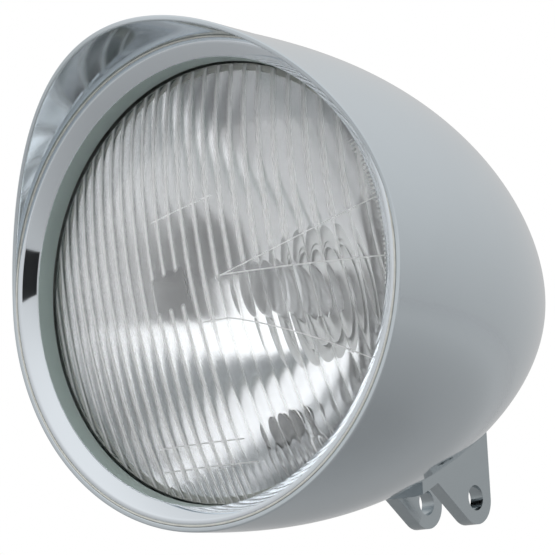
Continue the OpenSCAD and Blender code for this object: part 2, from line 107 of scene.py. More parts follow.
class NodeBench:
    """A small helper that adds and links the nodes of one tree."""

    def __init__(self, tree: bpy.types.NodeTree) -> None:
        """Keeps the tree that the nodes go into."""
        self.tree = tree

    def give(self, node: Node, inputs: Inputs) -> None:
        """Links a node's inputs to sockets or sets them to plain values, by name or number.

        Args:
            node: The node.
            inputs: Sockets or plain values for its inputs.
        """
        for name, value in inputs.items():
            if isinstance(value, Socket):
                self.tree.links.new(value, node.inputs[name])
            else:
                node.inputs[name].default_value = value

    def add(self, kind: str, inputs: Inputs | None = None, **settings: object) -> Node:
        """Adds a node.

        Args:
            kind: The node's type name.
            inputs: Sockets or plain values for its inputs.
            **settings: Attributes to set on it first.

        Returns:
            The new node.
        """
        node = self.tree.nodes.new(kind)
        for name, value in settings.items():
            setattr(node, name, value)
        self.give(node, inputs or {})
        return node

    def math(self, operation: str, *values: Value) -> Socket:
        """Adds a maths node on values, in order."""
        return self.add("ShaderNodeMath", dict(enumerate(values)), operation=operation).outputs[0]

    def chain(self, operation: str, values: Sequence[Value]) -> Value:
        """Runs one operation through values, from the left.

        Args:
            operation: What it does.
            values: Sockets or numbers, in order.

        Returns:
            The last result.
        """
        result = values[0]
        for value in values[1:]:
            result = self.math(operation, result, value)
        return result

    def total(self, *values: Value) -> Value:
        """Adds values up."""
        return self.chain("ADD", values)

    def product(self, *values: Value) -> Value:
        """Multiplies values."""
        return self.chain("MULTIPLY", values)

    def minus(self, value: Value, less: Value) -> Socket:
        """Takes one value from another."""
        return self.math("SUBTRACT", value, less)

    def length(self, side: Value, other: Value) -> Socket:
        """Returns the long side of a right triangle."""
        return self.math("SQRT", self.total(self.product(side, side), self.product(other, other)))

    def leg(self, long_side: Value, side: Value) -> Socket:
        """Returns the third side of a right triangle."""
        return self.math("SQRT", self.minus(self.product(long_side, long_side), self.product(side, side)))

    def between(self, value: Value, low: float, high: float) -> Value:
        """Returns 1 between two limits and 0 elsewhere."""
        return self.product(self.math("GREATER_THAN", value, low), self.math("LESS_THAN", value, high))

    def ramp(
        self, value: Value, start: Value, end: Value, low: float = 0.0, high: float = 1.0, kind: str = "SMOOTHSTEP"
    ) -> Socket:
        """Adds a ramp that stays level on both sides.

        Args:
            value: What it follows.
            start: Where it leaves the low level.
            end: Where it reaches the high level.
            low: The level at its start.
            high: The level at its end.
            kind: Its shape.

        Returns:
            The level at each value.
        """
        inputs = {"Value": value, "From Min": start, "From Max": end, "To Min": low, "To Max": high}
        return self.add("ShaderNodeMapRange", inputs, interpolation_type=kind).outputs[0]

    def blend(self, factor: Value, low: object, high: object, kind: str = "FLOAT") -> Socket:
        """Returns low where the factor is 0 and high where it is 1; the kind RGBA is for colours."""
        mix = self.add("ShaderNodeMix", {"Factor": factor, "A": low, "B": high}, data_type=kind)
        return mix.outputs["Result"]

    def shades(self, factor: Value, colour: Colour, shade: float) -> Socket:
        """Returns a colour that goes to a shade of itself with the factor."""
        return self.blend(factor, rgba(colour), rgba(colour, shade), "RGBA")

    def place(self, kind: str = "Object") -> Socket:
        """Adds the coordinates of the shaded point."""
        return self.add("ShaderNodeTexCoord").outputs[kind]

    def split(self, vector: Socket) -> bpy.types.NodeOutputs:
        """Adds the split of a vector and returns its parts by axis."""
        return self.add("ShaderNodeSeparateXYZ", {0: vector}).outputs

    def noise(self, place: Socket, scale: float, detail: float) -> Socket:
        """Adds a soft noise."""
        inputs = {"Vector": place, "Scale": scale, "Detail": detail}
        return self.add("ShaderNodeTexNoise", inputs).outputs["Fac"]

    def bump(self, height: Socket, strength: float) -> Socket:
        """Adds a fine relief and returns its normals."""
        inputs = {"Strength": strength, "Distance": BUMP_DEPTH, "Height": height}
        return self.add("ShaderNodeBump", inputs).outputs[0]

    def mark(self, name: str) -> Socket:
        """Adds a stored attribute of the mesh."""
        return self.add("ShaderNodeAttribute", attribute_name=name).outputs["Fac"]


def rgba(colour: Colour, shade: float = 1.0) -> tuple[float, ...]:
    """Returns a colour, or a shade of it, with its alpha."""
    return (*(part * shade for part in colour), 1.0)


def blank_material(name: str) -> tuple[Material, NodeBench, Node]:
    """Makes a plain node material.

    Args:
        name: The material's name.

    Returns:
        The material, a bench for its tree and its main shader.
    """
    material = bpy.data.materials.new(name)
    material.use_nodes = True
    return material, NodeBench(material.node_tree), material.node_tree.nodes["Principled BSDF"]


@dataclass(frozen=True)
class MetalFinish:
    """A plated or polished metal, with fine waviness and faint wear in its gloss."""

    colour: Colour
    gloss: float
    uneven: float
    grain: float
    ripple: float = 0.0
    streaks: Point3 = (1.0, 1.0, 1.0)
    detail: float = 4.0
    grain_span: Point2 = (0.3, 0.7)
    shade: float = 0.96

    def build(self, name: str) -> Material:
        """Returns the finish as a material.

        Args:
            name: The material's name.

        Returns:
            The material.
        """
        material, bench, shader = blank_material(name)
        stretch = bench.add("ShaderNodeMapping", {"Vector": bench.place(), "Scale": self.streaks})
        noise = bench.noise(stretch.outputs[0], self.grain, self.detail)
        rough = bench.ramp(noise, *self.grain_span, self.gloss, self.gloss + self.uneven, "LINEAR")
        colour = bench.shades(noise, self.colour, self.shade)
        bench.give(shader, {"Roughness": rough, "Base Color": colour, "Metallic": 1.0})
        if self.ripple:
            bench.give(shader, {"Normal": bench.bump(noise, self.ripple)})
        return material


@dataclass(frozen=True)
class RingFinish(MetalFinish):
    """Bright plate whose inner wall, deeper than its cone, is left satin and a little green, and painted paler to
    offset the shade that falls on it near the glass.
    """

    wall_from: float = 0.0037
    wall_blend: float = 0.0004
    # Grey-green of the satin wall, painted lighter than its own tone to offset the shade near the glass.
    wall_colour_lightened: Colour = (0.66, 0.755, 0.73)
    wall_gloss: float = 0.75

    def build(self, name: str) -> Material:
        """Returns the finish as a material.

        Args:
            name: The material's name.

        Returns:
            The material.
        """
        material = super().build(name)
        bench = NodeBench(material.node_tree)
        shader = material.node_tree.nodes["Principled BSDF"]
        start = self.wall_from - AXIS.bolt_back
        wall = bench.ramp(bench.split(bench.place())["Y"], start, start + self.wall_blend)
        colour, rough = (shader.inputs[name].links[0].from_socket for name in ("Base Color", "Roughness"))
        colour = bench.blend(wall, colour, rgba(self.wall_colour_lightened), "RGBA")
        bench.give(shader, {"Base Color": colour, "Roughness": bench.blend(wall, rough, self.wall_gloss)})
        return material


@dataclass(frozen=True)
class SeamLine:
    """A thin raised line of the glass's mould, drawn only as a painted highlight line, as height over place across
    the lamp, in metres.
    """

    start: float
    end: float
    level: float
    slope: float
    bend: float = 0.0


@dataclass(frozen=True)
class ToothRow:
    """A row of small teeth along the glass's rim, drawn as painted highlight marks, in metres and degrees round
    the axis.
    """

    inner: float
    outer: float
    first: float
    last: float
    pitch: float


@dataclass(frozen=True)
class GlassFinish:
    """Clear blown glass, a little frosted."""

    tint: Colour
    frost: float = 0.0
    index: float = 1.5
    grain: float = 60.0
    detail: float = 2.0
    shade: float = 1.01

    def build(self, name: str) -> Material:
        """Returns the finish as a material.

        Args:
            name: The material's name.

        Returns:
            The material.
        """
        material, bench, shader = blank_material(name)
        place = bench.place()
        colour = bench.shades(bench.noise(place, self.grain, self.detail), self.tint, self.shade)
        clear, rough = self.surface(bench, place)
        inputs = {"Base Color": colour, "IOR": self.index, "Transmission Weight": clear, "Roughness": rough}
        bench.give(shader, inputs)
        return material

    def surface(self, bench: NodeBench, place: Socket) -> tuple[Value, Value]:
        """Returns how clear and how rough the glass is."""
        return 1.0 - self.frost, 0.0


@dataclass(frozen=True)
class PressedGlassFinish(GlassFinish):
    """Clear pressed glass whose back has ridges, thin mould lines and a row of teeth, all whitened as painted
    highlight lines.
    """

    lines: tuple[SeamLine, ...] = ()
    teeth: ToothRow = ToothRow(0.0629, 0.0645, -8.0, 34.0, 1.3)
    # Whiteness painted on the ridges, seam lines and teeth as their highlight.
    painted_ridge_highlight: float = 0.9
    ridge_gloss: float = 0.35
    haze: float = 0.05
    line_half: float = 0.00022

    def surface(self, bench: NodeBench, place: Socket) -> tuple[Value, Value]:
        """Returns how clear and how rough the glass is.

        Args:
            bench: The bench of the finish's tree.
            place: The Object coordinates.

        Returns:
            The transmission and the roughness.
        """
        back = bench.mark("back_face")
        # Ridges, seam lines and teeth are whitened here as painted highlights; the back also gets an even haze.
        ridge = bench.math("MAXIMUM", bench.mark("ridge"), bench.product(self.seams(bench, place), back))
        haze = bench.total(bench.product(ridge, self.painted_ridge_highlight), bench.product(back, self.haze))
        return bench.minus(1.0, bench.math("MINIMUM", haze, 1.0)), bench.product(ridge, self.ridge_gloss)

    def seams(self, bench: NodeBench, place: Socket) -> Value:
        """Adds the mould's seam lines and teeth, where the glass paints its highlight lines.

        Args:
            bench: The bench of the finish's tree.
            place: The Object coordinates.

        Returns:
            1 on a line or tooth and 0 elsewhere.
        """
        parts = bench.split(place)
        x, z = parts["X"], bench.minus(parts["Z"], AXIS.bolt_drop)
        marks = self.toothed(bench, x, z)
        for line in self.lines:
            along = bench.minus(x, line.start)
            curve = bench.product(along, along, line.bend)
            height = bench.total(bench.product(along, line.slope), line.level, curve)
            thin = bench.math("LESS_THAN", bench.math("ABSOLUTE", bench.minus(z, height)), self.line_half)
            marks = bench.math("MAXIMUM", marks, bench.product(thin, bench.between(x, line.start, line.end)))
        return marks

    def toothed(self, bench: NodeBench, x: Socket, z: Socket) -> Value:
        """Adds the row of small teeth along one side of the rim.

        Args:
            bench: The bench of the finish's tree.
            x: Place across the lamp.
            z: Height above the lamp's axis.

        Returns:
            1 on a tooth and 0 elsewhere.
        """
        row = self.teeth
        turn = bench.product(bench.math("ARCTAN2", z, x), math.degrees(1))
        tooth = bench.math("LESS_THAN", bench.math("FRACT", bench.math("DIVIDE", turn, row.pitch)), 0.5)
        near = bench.between(bench.length(x, z), row.inner, row.outer)
        return bench.product(tooth, near, bench.between(turn, row.first, row.last))


@dataclass(frozen=True)
class MouldedFinish:
    """Moulded rubber or plastic, with a fine matt grain."""

    colour: Colour
    gloss: float
    grain: float = 900.0
    detail: float = 3.0
    shade: float = 1.5
    relief: float = 0.25

    def build(self, name: str) -> Material:
        """Returns the finish as a material.

        Args:
            name: The material's name.

        Returns:
            The material.
        """
        material, bench, shader = blank_material(name)
        noise = bench.noise(bench.place(), self.grain, self.detail)
        colour = bench.shades(noise, self.colour, self.shade)
        inputs = {"Base Color": colour, "Roughness": self.gloss, "Normal": bench.bump(noise, self.relief)}
        bench.give(shader, inputs)
        return material


class Finish(Enum):
    """The finishes of the headlight, each named as its slot in the record."""

    SHELL_CHROME = "shell_chrome"
    BRACKET_CHROME = "bracket_chrome"
    RING_CHROME = "ring_chrome"
    ZINC_STEEL = "zinc_steel"
    SPRING_STEEL = "spring_steel"
    BLACK_RUBBER = "black_rubber"
    SEAL_BEAD = "seal_bead"
    LENS_GLASS = "lens_glass"
    BULB_GLASS = "bulb_glass"
    REFLECTOR_MIRROR = "reflector_mirror"
    BULB_BASE = "bulb_base"
    CONTACT_BRASS = "contact_brass"


SEAM_LINES = (
    SeamLine(-0.0157, 0.0078, 0.0194, 0.225),
    SeamLine(0.011, 0.064, -0.0004, 0.29, 1.4),
    SeamLine(0.011, 0.063, -0.0002, 0.0),
    SeamLine(0.002, 0.0135, -0.0136, 0.02),
    SeamLine(0.0135, 0.0566, -0.0134, -0.22, -3.8),
    SeamLine(-0.023, 0.011, -0.049, 0.0),
    SeamLine(-0.024, 0.014, -0.056, 0.0),
)

RECIPES = {
    Finish.SHELL_CHROME: MetalFinish((0.705, 0.768, 0.812), 0.07, 0.03, 40.0),
    Finish.BRACKET_CHROME: MetalFinish((0.485, 0.535, 0.56), 0.16, 0.06, 160.0, 0.15),
    Finish.RING_CHROME: RingFinish((0.83, 0.885, 0.935), 0.03, 0.02, 60.0),
    Finish.ZINC_STEEL: MetalFinish((0.6, 0.61, 0.61), 0.32, 0.12, 300.0, 0.1),
    Finish.SPRING_STEEL: MetalFinish((0.45, 0.46, 0.47), 0.28, 0.12, 400.0, 0.1, (1, 0.2, 1)),
    Finish.BLACK_RUBBER: MouldedFinish((0.022, 0.022, 0.023), 0.62),
    # Pale grey-olive: partly the seal's own colour, and partly painted light, far lighter than black rubber, that
    # lifts the shade in the gaps round the ring and glass and deep in the bowl.
    Finish.SEAL_BEAD: MouldedFinish((0.46, 0.465, 0.435), 0.5, 500.0),
    Finish.LENS_GLASS: PressedGlassFinish((0.975, 0.985, 0.99), lines=SEAM_LINES),
    Finish.BULB_GLASS: GlassFinish((0.93, 0.94, 0.95), 0.35),
    Finish.REFLECTOR_MIRROR: MetalFinish((0.95, 0.955, 0.965), 0.14, 0.02, 50.0),
    Finish.BULB_BASE: MouldedFinish((0.16, 0.155, 0.15), 0.5, 700.0),
    Finish.CONTACT_BRASS: MetalFinish((0.7, 0.62, 0.42), 0.3, 0.1, 300.0),
}


class FinishShop:
    """Builds each finish once and puts it on pieces."""

    def __init__(self) -> None:
        """Starts with no finish made."""
        self.made: dict[Finish, Material] = {}

    def material(self, finish: Finish) -> Material:
        """Returns a finish's material, built on its first use.

        Args:
            finish: The finish.

        Returns:
            Its material.
        """
        if finish not in self.made:
            self.made[finish] = RECIPES[finish].build(finish.value)
        return self.made[finish]

    def dress(self, piece: Piece, finish: Finish) -> None:
        """Gives a piece one finish in place of whatever it had."""
        piece.data.materials.clear()
        piece.data.materials.append(self.material(finish))


# ---------------------------------------------------------------- mesh tools


def rounded(corners: Sequence[Point2], radius: float, steps: int = 3) -> list[Point2]:
    """Rounds the corners of a closed outline.

    Args:
        corners: The outline's corners.
        radius: How far a round starts from its corner, less where a side is short.
        steps: Pieces in each round.

    Returns:
        The outline's points.
    """
    flat, most = math.radians(165), 0.4
    points: list[Point2] = []
    for i, corner in enumerate(corners):
        here = Vector(corner)
        back, ahead = Vector(corners[i - 1]) - here, Vector(corners[(i + 1) % len(corners)]) - here
        if back.angle(ahead) > flat:
            points.append(tuple(here))
            continue
        cut = min(radius, back.length * most, ahead.length * most)
        start, end = here + back.normalized() * cut, here + ahead.normalized() * cut
        for k in range(steps + 1):
            t = k / steps
            points.append(tuple(start * (1 - t) ** 2 + here * 2 * t * (1 - t) + end * t * t))
    return points


def mesh_of(bm: bmesh.types.BMesh, name: str, smooth: bool = False) -> Mesh:
    """Turns a mesh under construction into a plain one.

    Args:
        bm: The mesh under construction, which is freed.
        name: The new mesh's name.
        smooth: Whether its faces are smooth.

    Returns:
        The mesh.
    """
    mesh = bpy.data.meshes.new(name)
    bm.to_mesh(mesh)
    bm.free()
    if smooth:
        mesh.shade_smooth()
    return mesh


def sharpened(mesh: Mesh, degrees: float) -> None:
    """Keeps the edges of a smooth mesh sharp that bend by more than an angle."""
    mesh.set_sharp_from_angle(angle=math.radians(degrees))


def new_piece(name: str, mesh: Mesh) -> Piece:
    """Puts a mesh into the scene as an object at the origin.

    Args:
        name: The object's name.
        mesh: Its mesh.

    Returns:
        The object.
    """
    piece = bpy.data.objects.new(name, mesh)
    bpy.context.scene.collection.objects.link(piece)
    return piece


def grid_mesh(name: str, rows: Sequence[Sequence[Vector]], closed: bool) -> Mesh:
    """Makes a mesh of rows that each run once round.

    Args:
        name: The mesh's name.
        rows: Rows of points, all of one length; a row of one point is a pole.
        closed: Whether the last row joins the first.

    Returns:
        The mesh, smooth and with its faces outwards.
    """
    bm = bmesh.new()
    made = [[bm.verts.new(p) for p in row] for row in rows]
    for low, high in zip(made, made[1:] + made[:1] if closed else made[1:]):
        count = max(len(low), len(high))
        for i in range(count):
            j = (i + 1) % count
            loop = (low[i % len(low)], low[j % len(low)], high[j % len(high)], high[i % len(high)])
            bm.faces.new(list(dict.fromkeys(loop)))
    bmesh.ops.recalc_face_normals(bm, faces=bm.faces)
    return mesh_of(bm, name, True)


def lathe(name: str, outline: Sequence[Point2], segments: int) -> Mesh:
    """Turns a closed outline round the lamp's axis.

    Args:
        name: The mesh's name.
        outline: Points of radius and depth, in metres.
        segments: Steps round the axis.

    Returns:
        The mesh, in the frame of the bolt.
    """
    turns = even_turns(segments)
    return grid_mesh(name, [AXIS.ring(radius, depth, turns) for radius, depth in outline], True)


def cylinder(start: Vector, end: Vector, radius: float, segments: int) -> Mesh:
    """Makes a plain closed cylinder between two points, to cut with.

    Args:
        start: Middle of one end.
        end: Middle of the other.
        radius: Its radius.
        segments: Steps round it.

    Returns:
        The mesh.
    """
    bm = bmesh.new()
    span = end - start
    place = Matrix.Translation((start + end) / 2) @ span.to_track_quat("Z", "Y").to_matrix().to_4x4()
    bmesh.ops.create_cone(
        bm, cap_ends=True, segments=segments, radius1=radius, radius2=radius, depth=span.length, matrix=place
    )
    return mesh_of(bm, "cutter")


def baked(piece: Piece) -> None:
    """Turns a piece's modifiers into plain mesh.

    Args:
        piece: The piece, whose mesh is replaced.
    """
    graph = bpy.context.evaluated_depsgraph_get()
    mesh = bpy.data.meshes.new_from_object(piece.evaluated_get(graph))
    mesh.name = piece.name
    piece.modifiers.clear()
    piece.data = mesh


def cut_holes(piece: Piece, cutters: Iterable[Mesh]) -> None:
    """Cuts the holes that closed meshes fill in a piece.

    Args:
        piece: What is cut.
        cutters: Closed meshes of the holes.
    """
    bm = bmesh.new()
    for cutter in cutters:
        bm.from_mesh(cutter)
    tool = new_piece("cutters", mesh_of(bm, "cutters"))
    cut = piece.modifiers.new("holes", "BOOLEAN")
    cut.operation, cut.solver, cut.object = "DIFFERENCE", "EXACT", tool
    baked(piece)
    bpy.data.objects.remove(tool)


def fitted(piece: Piece, node: str, finish: Finish, shop: FinishShop) -> None:
    """Lets a piece stand for a CAD node, with a finish, and logs it.

    Args:
        piece: The piece.
        node: The CAD node that it stands for.
        finish: Its finish.
        shop: Where the finish comes from.
    """
    shop.dress(piece, finish)
    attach(piece, BODY)
    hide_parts(node)
    LOG.info("%s stands for %s with %d faces", piece.name, node, len(piece.data.polygons))


# ---------------------------------------------------------------- sub-assemblies


@dataclass
class BulletShell:
    """Spun shell with its visor, as one smooth skin over the CAD's sizes."""

    mouth: float = 0.075
    wall: float = 0.0017
    length: float = 0.180
    power: float = 2.4
    nose_from: float = 0.157
    visor_depth: float = 0.0265
    visor_tube: float = 0.0285
    visor_flare: float = 0.0008
    edge_round: float = 0.0005
    edge_gap: float = 1.6
    edge_start: float = 0.8
    edge_profile: tuple[Point2, ...] = ((0.0, 1.0), (0.08, 0.55), (0.3, 0.2), (0.62, 0.03), (1.0, 0.0))
    screw_depths: Point2 = (0.1010, 0.1270)
    screw_hole: float = 0.0025
    grommet_depth: float = 0.1140
    grommet_hole: float = 0.0051
    hole_reach: Point2 = (0.008, 0.012)
    hole_sides: int = 48
    outer_steps: tuple[int, int] = (84, 14)
    inner_steps: tuple[int, int] = (52, 8)
    edge_steps: int = 12
    segments: int = 288

    @property
    def outside(self) -> float:
        """Outer radius at the mouth."""
        return self.mouth + self.wall

    def skin(self, depth: float) -> float:
        """Returns the outer radius at a depth behind the mouth."""
        return self.outside * (1 - (max(depth, 0.0) / self.length) ** self.power)

    def tilt(self, depth: float) -> float:
        """Returns the tilt of the skin at a depth, in radians."""
        share = self.power / self.length * (max(depth, 0.0) / self.length) ** (self.power - 1)
        return math.atan(self.outside * share)

    def skin_points(self, sunk: float, steps: int, nose_steps: int) -> list[Point2]:
        """Lists a surface of the bullet from behind the mouth to the tip.

        Args:
            sunk: How far the surface lies below the skin.
            steps: Pieces along the bullet curve.
            nose_steps: Pieces along the round nose.

        Returns:
            Points of radius and depth.
        """
        points = []
        for i in range(1, steps + 1):
            depth = self.nose_from * i / steps
            tilt = self.tilt(depth)
            points.append((self.skin(depth) - sunk * math.cos(tilt), depth - sunk * math.sin(tilt)))
        start = self.tilt(self.nose_from)
        ball = self.skin(self.nose_from) / math.cos(start)
        middle = self.nose_from - ball * math.sin(start)
        for i in range(1, nose_steps + 1):
            turn = start + (math.pi / 2 - start) * i / nose_steps
            radius = (ball - sunk) * math.cos(turn) if i < nose_steps else 0.0
            points.append((radius, middle + (ball - sunk) * math.sin(turn)))
        return points

    def front(self, turn: float) -> float:
        """Returns the depth of the visor's or mouth's edge at an angle round the axis.

        Args:
            turn: Angle round the axis, in radians.

        Returns:
            The depth, which is negative along the visor.
        """
        arc = (self.outside**2 + self.visor_depth**2) / (2 * self.visor_depth)
        height = (self.mouth + self.wall / 2 + self.visor_flare / 2) * math.sin(turn)
        return math.sqrt(arc**2 - height**2) - arc if height > 0 else 0.0

    def tube_radius(self, radius: float, depth: float) -> float:
        """Returns the visor's radius at a depth, from its radius at the mouth."""
        return radius + self.visor_flare * max(-depth, 0.0) / self.visor_tube

    def rows(self) -> list[list[Vector]]:
        """Returns the skin's rows, from the outer tip round the edge to the inner tip.

        Returns:
            Rows of points; the first and the last are poles.
        """
        turns, edge = even_turns(self.segments), self.edge_round
        rows = [AXIS.ring(r, d, turns) for r, d in reversed(self.skin_points(0.0, *self.outer_steps))]
        shares = [k / self.edge_steps for k in range(1, self.edge_steps + 1)]
        step = self.nose_from / self.outer_steps[0]
        rows += [[self.edge_point(self.outside, step, share, t) for t in turns] for share in shares]
        for inset, lift in self.edge_profile:
            rows.append([self.lip_point(self.outside - inset * edge, lift * edge, t) for t in turns])
        for inset, lift in reversed(self.edge_profile):
            rows.append([self.lip_point(self.mouth + inset * edge, lift * edge, t) for t in turns])
        step = self.nose_from / self.inner_steps[0]
        rows += [[self.edge_point(self.mouth, step, share, t) for t in turns] for share in reversed(shares)]
        return rows + [AXIS.ring(r, d, turns) for r, d in self.skin_points(self.wall, *self.inner_steps)]

    def edge_point(self, radius: float, step: float, share: float, turn: float) -> Vector:
        """Returns a point between the first plain row and just behind the front edge.

        Args:
            radius: The surface's radius at the mouth.
            step: Depth of the first plain row.
            share: How far on the way to the front edge the point is.
            turn: Its angle round the axis.

        Returns:
            The point.
        """
        near, far = self.front(turn) + self.edge_round * self.edge_gap, step * self.edge_start
        depth = far + (near - far) * share
        own = self.tube_radius(radius, depth) if depth < 0 else radius - (self.outside - self.skin(depth))
        return AXIS.at(own, depth, turn)

    def lip_point(self, radius: float, lift: float, turn: float) -> Vector:
        """Returns a point on the rounded front edge."""
        depth = self.front(turn) + lift
        return AXIS.at(self.tube_radius(radius, depth), depth, turn)

    def belly(self, depth: float, radius: float) -> Mesh:
        """Returns the cutter of a hole through the belly.

        Args:
            depth: Depth of the hole behind the mouth.
            radius: Its radius.

        Returns:
            The cutter.
        """
        tilt = self.tilt(depth)
        at = AXIS.centre() + Vector((0.0, depth, -self.skin(depth)))
        out = Vector((0.0, math.sin(tilt), -math.cos(tilt)))
        return cylinder(at - out * self.hole_reach[0], at + out * self.hole_reach[1], radius, self.hole_sides)

    def build(self, shop: FinishShop) -> None:
        """Makes the shell and lets it stand for its node.

        Args:
            shop: Where its finishes come from.
        """
        piece = new_piece("shell_skin", grid_mesh("shell_skin", self.rows(), False))
        holes = [self.belly(depth, self.screw_hole) for depth in self.screw_depths]
        cut_holes(piece, [*holes, self.belly(self.grommet_depth, self.grommet_hole)])
        fitted(piece, "housing_shell", Finish.SHELL_CHROME, shop)


@dataclass
class TrimRing:
    """Pressed trim ring with soft corners, the holes of its springs and rivets, and the seal's lip."""

    ring: float = 0.0745
    skirt: float = 0.0736
    flange: float = 0.0729
    cone: float = 0.0688
    inside: float = 0.0683
    sheet: float = 0.0012
    cone_drop: float = 0.0038
    wall_end: float = 0.0104
    skirt_end: float = 0.024
    corner: float = 0.0005
    spring_depth: float = 0.0201
    spring_hole: float = 0.001
    spring_half: float = 11.0
    rivet_depth: float = 0.0205
    rivet_hole: float = 0.0014
    rivet_turn: float = 45.0
    hole_reach: float = 0.002
    hole_sides: int = 20
    lip: Point3 = (0.07472, 0.0001, 0.00032)
    lip_sides: int = 8
    segments: int = 256

    def outline(self) -> list[Point2]:
        """Returns the ring's closed section, with rounded corners.

        Returns:
            Points of radius and depth.
        """
        t, end, drop = self.sheet, self.skirt_end, self.cone_drop
        flange = [(self.flange, 0.0), (self.ring, 0.0), (self.ring, t)]
        skirt = [(self.skirt, t), (self.skirt, end), (self.skirt - t, end), (self.skirt - t, 2 * t)]
        wall = [(self.inside + t, self.wall_end), (self.inside, self.wall_end)]
        return rounded([*flange, *skirt, (self.cone + t, drop + t / 2), *wall, (self.cone, drop)], self.corner)

    def hole(self, degrees: float, depth: float, radius: float) -> Mesh:
        """Returns the cutter of a radial hole in the skirt.

        Args:
            degrees: Angle of the hole round the axis.
            depth: Its depth behind the mouth.
            radius: Its radius.

        Returns:
            The cutter.
        """
        turn = math.radians(degrees)
        aim = Vector((math.cos(turn), 0.0, math.sin(turn)))
        at = AXIS.centre() + Vector((0.0, depth, 0.0))
        start, end = self.skirt - self.sheet - self.hole_reach, self.skirt + self.hole_reach
        return cylinder(at + aim * start, at + aim * end, radius, self.hole_sides)

    def build(self, shop: FinishShop) -> None:
        """Makes the ring and lets it stand for its node.

        Args:
            shop: Where its finishes come from.
        """
        piece = new_piece("ring_skin", lathe("ring_skin", self.outline(), self.segments))
        holes = []
        for quarter in (0, 90, 180, 270):
            for side in (-self.spring_half, self.spring_half):
                holes.append(self.hole(quarter + side, self.spring_depth, self.spring_hole))
            holes.append(self.hole(quarter + self.rivet_turn, self.rivet_depth, self.rivet_hole))
        cut_holes(piece, holes)
        fitted(piece, "trim_ring", Finish.RING_CHROME, shop)
        self.seal_lip(shop)

    def seal_lip(self, shop: FinishShop) -> None:
        """Adds the seal's thin lip, which shows as a pale line between the ring's edge and the shell.

        Args:
            shop: Where its finishes come from.
        """
        radius, depth, thick = self.lip
        turns = even_turns(self.lip_sides)
        outline = [(radius + thick * math.cos(a), depth + thick * math.sin(a)) for a in turns]
        piece = new_piece("seal_lip", lathe("seal_lip", outline, self.segments))
        shop.dress(piece, Finish.SEAL_BEAD)
        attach(piece, BODY)
        LOG.info("%s is added with %d faces", piece.name, len(piece.data.polygons))


@dataclass
class Reflector:
    """Mirror bowl with its neck, rim and the boss of the parking bulb."""

    front: float = 0.015
    bowl: float = 0.0655
    focus: float = 0.020
    sheet: float = 0.0009
    rim: float = 0.0713
    rim_edge: float = 0.0012
    neck: float = 0.022
    neck_end: float = 0.06558
    flange: float = 0.031
    pilot_drop: float = 0.044
    pilot_hole: float = 0.006
    hole_past: float = 0.001
    boss: float = 0.0069
    boss_back: float = 0.0543
    boss_sides: int = 48
    rivet_turns: tuple[int, ...] = (90, 210, 330)
    rivet_ring: float = 0.0274
    rivet_span: Point2 = (0.064, 0.07)
    rivet_hole: float = 0.0014
    rivet_sides: int = 20
    sharp: float = 40.0
    bowl_steps: int = 60
    segments: int = 192

    def depth(self, radius: float) -> float:
        """Returns the depth of the mirror face at a radius."""
        return self.front + (self.bowl**2 - radius**2) / (4 * self.focus)

    def outline(self) -> list[Point2]:
        """Returns the closed section of the bowl, from its front rim round the neck.

        Returns:
            Points of radius and depth.
        """
        steps, t = self.bowl_steps, self.sheet
        radii = [self.bowl + (self.neck - self.bowl) * i / steps for i in range(steps + 1)]
        inner = [(r, self.depth(r)) for r in radii]
        outer = []
        for r in reversed(radii):
            tilt = math.atan(r / (2 * self.focus))
            grown = (r + t * math.sin(tilt), self.depth(r) + t * math.cos(tilt))
            if grown[1] > self.front + t and grown[0] > self.neck + t:
                outer.append(grown)
        end, rim, back = self.neck_end, self.rim, self.front + t
        neck = [(self.neck, end + t), (self.flange, end + t), (self.flange, end), (self.neck + t, end)]
        edge = [(rim - t, back), (rim - t, back + self.rim_edge), (rim, back + self.rim_edge), (rim, self.front)]
        return inner + neck + outer + edge

    def build(self, shop: FinishShop) -> None:
        """Makes the bowl and lets it stand for its node.

        Args:
            shop: Where its finishes come from.
        """
        mesh = lathe("mirror_bowl", self.outline(), self.segments)
        sharpened(mesh, self.sharp)
        piece = new_piece("mirror_bowl", mesh)
        low = AXIS.centre() + Vector((0.0, 0.0, -self.pilot_drop))
        ahead, behind = Vector((0.0, self.front, 0.0)), Vector((0.0, self.boss_back + self.hole_past, 0.0))
        holes = [cylinder(low + ahead, low + behind, self.pilot_hole, self.boss_sides)]
        for degrees in self.rivet_turns:
            start, end = (AXIS.at(self.rivet_ring, depth, math.radians(degrees)) for depth in self.rivet_span)
            holes.append(cylinder(start, end, self.rivet_hole, self.rivet_sides))
        cut_holes(piece, holes)
        self.add_boss(piece, low)
        fitted(piece, "reflector", Finish.REFLECTOR_MIRROR, shop)

    def add_boss(self, piece: Piece, low: Vector) -> None:
        """Adds the tube of the parking bulb's boss, round a point of the mouth's plane, to the bowl's mesh.

        Args:
            piece: The bowl.
            low: The boss's middle in the plane of the mouth.
        """
        start, back, turns = self.depth(self.pilot_drop), self.boss_back, even_turns(self.boss_sides)
        section = ((self.pilot_hole, start), (self.pilot_hole, back), (self.boss, back), (self.boss, start))
        rows = [[low + Vector((r * math.cos(a), depth, r * math.sin(a))) for a in turns] for r, depth in section]
        bm = bmesh.new()
        bm.from_mesh(piece.data)
        bm.from_mesh(grid_mesh("boss", rows, True))
        bm.to_mesh(piece.data)
        bm.free()
        sharpened(piece.data, self.sharp)


